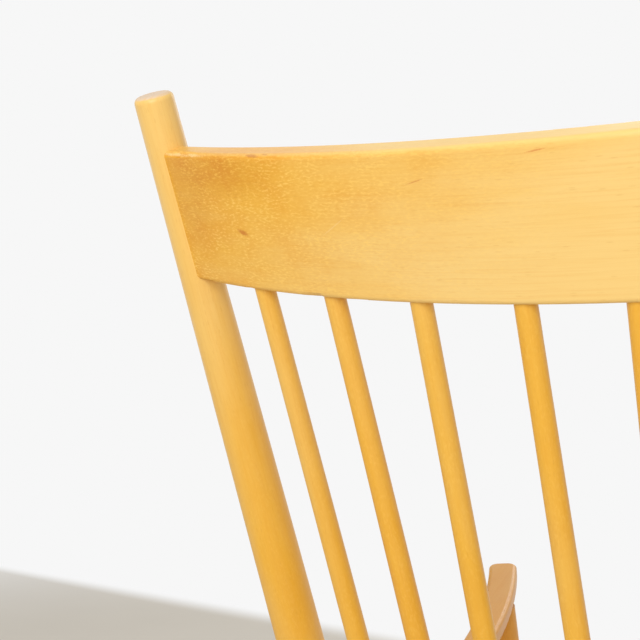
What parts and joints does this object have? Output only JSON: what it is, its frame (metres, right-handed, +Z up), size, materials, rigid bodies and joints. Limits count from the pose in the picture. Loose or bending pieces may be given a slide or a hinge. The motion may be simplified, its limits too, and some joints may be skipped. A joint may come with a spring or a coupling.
{
  "type": "rocking chair",
  "caption": "Beech rocking chair with a leaning spindle back between round posts, a wide curved crest rail, flared arms and a woven paper-cord seat.",
  "frame": {"origin": "on the floor, midway between the left and right runners and midway between the runners' front and rear tips", "axes": "+Z up from the floor, the sitter faces -Y, +X is the sitter's left"},
  "size_m": [0.683, 0.905, 1.0739],
  "materials": {
    "beech": "satin",
    "dowels": "satin",
    "paper_cord": "matte"
  },
  "bodies": {
    "root": {"arm_left": "beech", "arm_right": "beech", "back_post_left": "beech", "back_post_right": "beech", "crest_rail": "beech", "crest_rail_pins": "dowels", "front_leg_left": "beech", "front_leg_right": "beech", "front_stretcher_lower": "beech", "front_stretcher_upper": "beech", "lower_back_rail": "beech", "lower_rail_pins": "dowels", "rear_stretcher": "beech", "runner_left": "beech", "runner_pins": "dowels", "runner_right": "beech", "seat_rail_front": "beech", "seat_rail_left": "beech", "seat_rail_rear": "beech", "seat_rail_right": "beech", "seat_weave": "paper_cord", "side_stretcher_left_lower": "beech", "side_stretcher_left_upper": "beech", "side_stretcher_right_lower": "beech", "side_stretcher_right_upper": "beech", "spindle_1": "beech", "spindle_2": "beech", "spindle_3": "beech", "spindle_4": "beech", "spindle_5": "beech", "spindle_6": "beech", "spindle_7": "beech"}
  },
  "joints": []
}
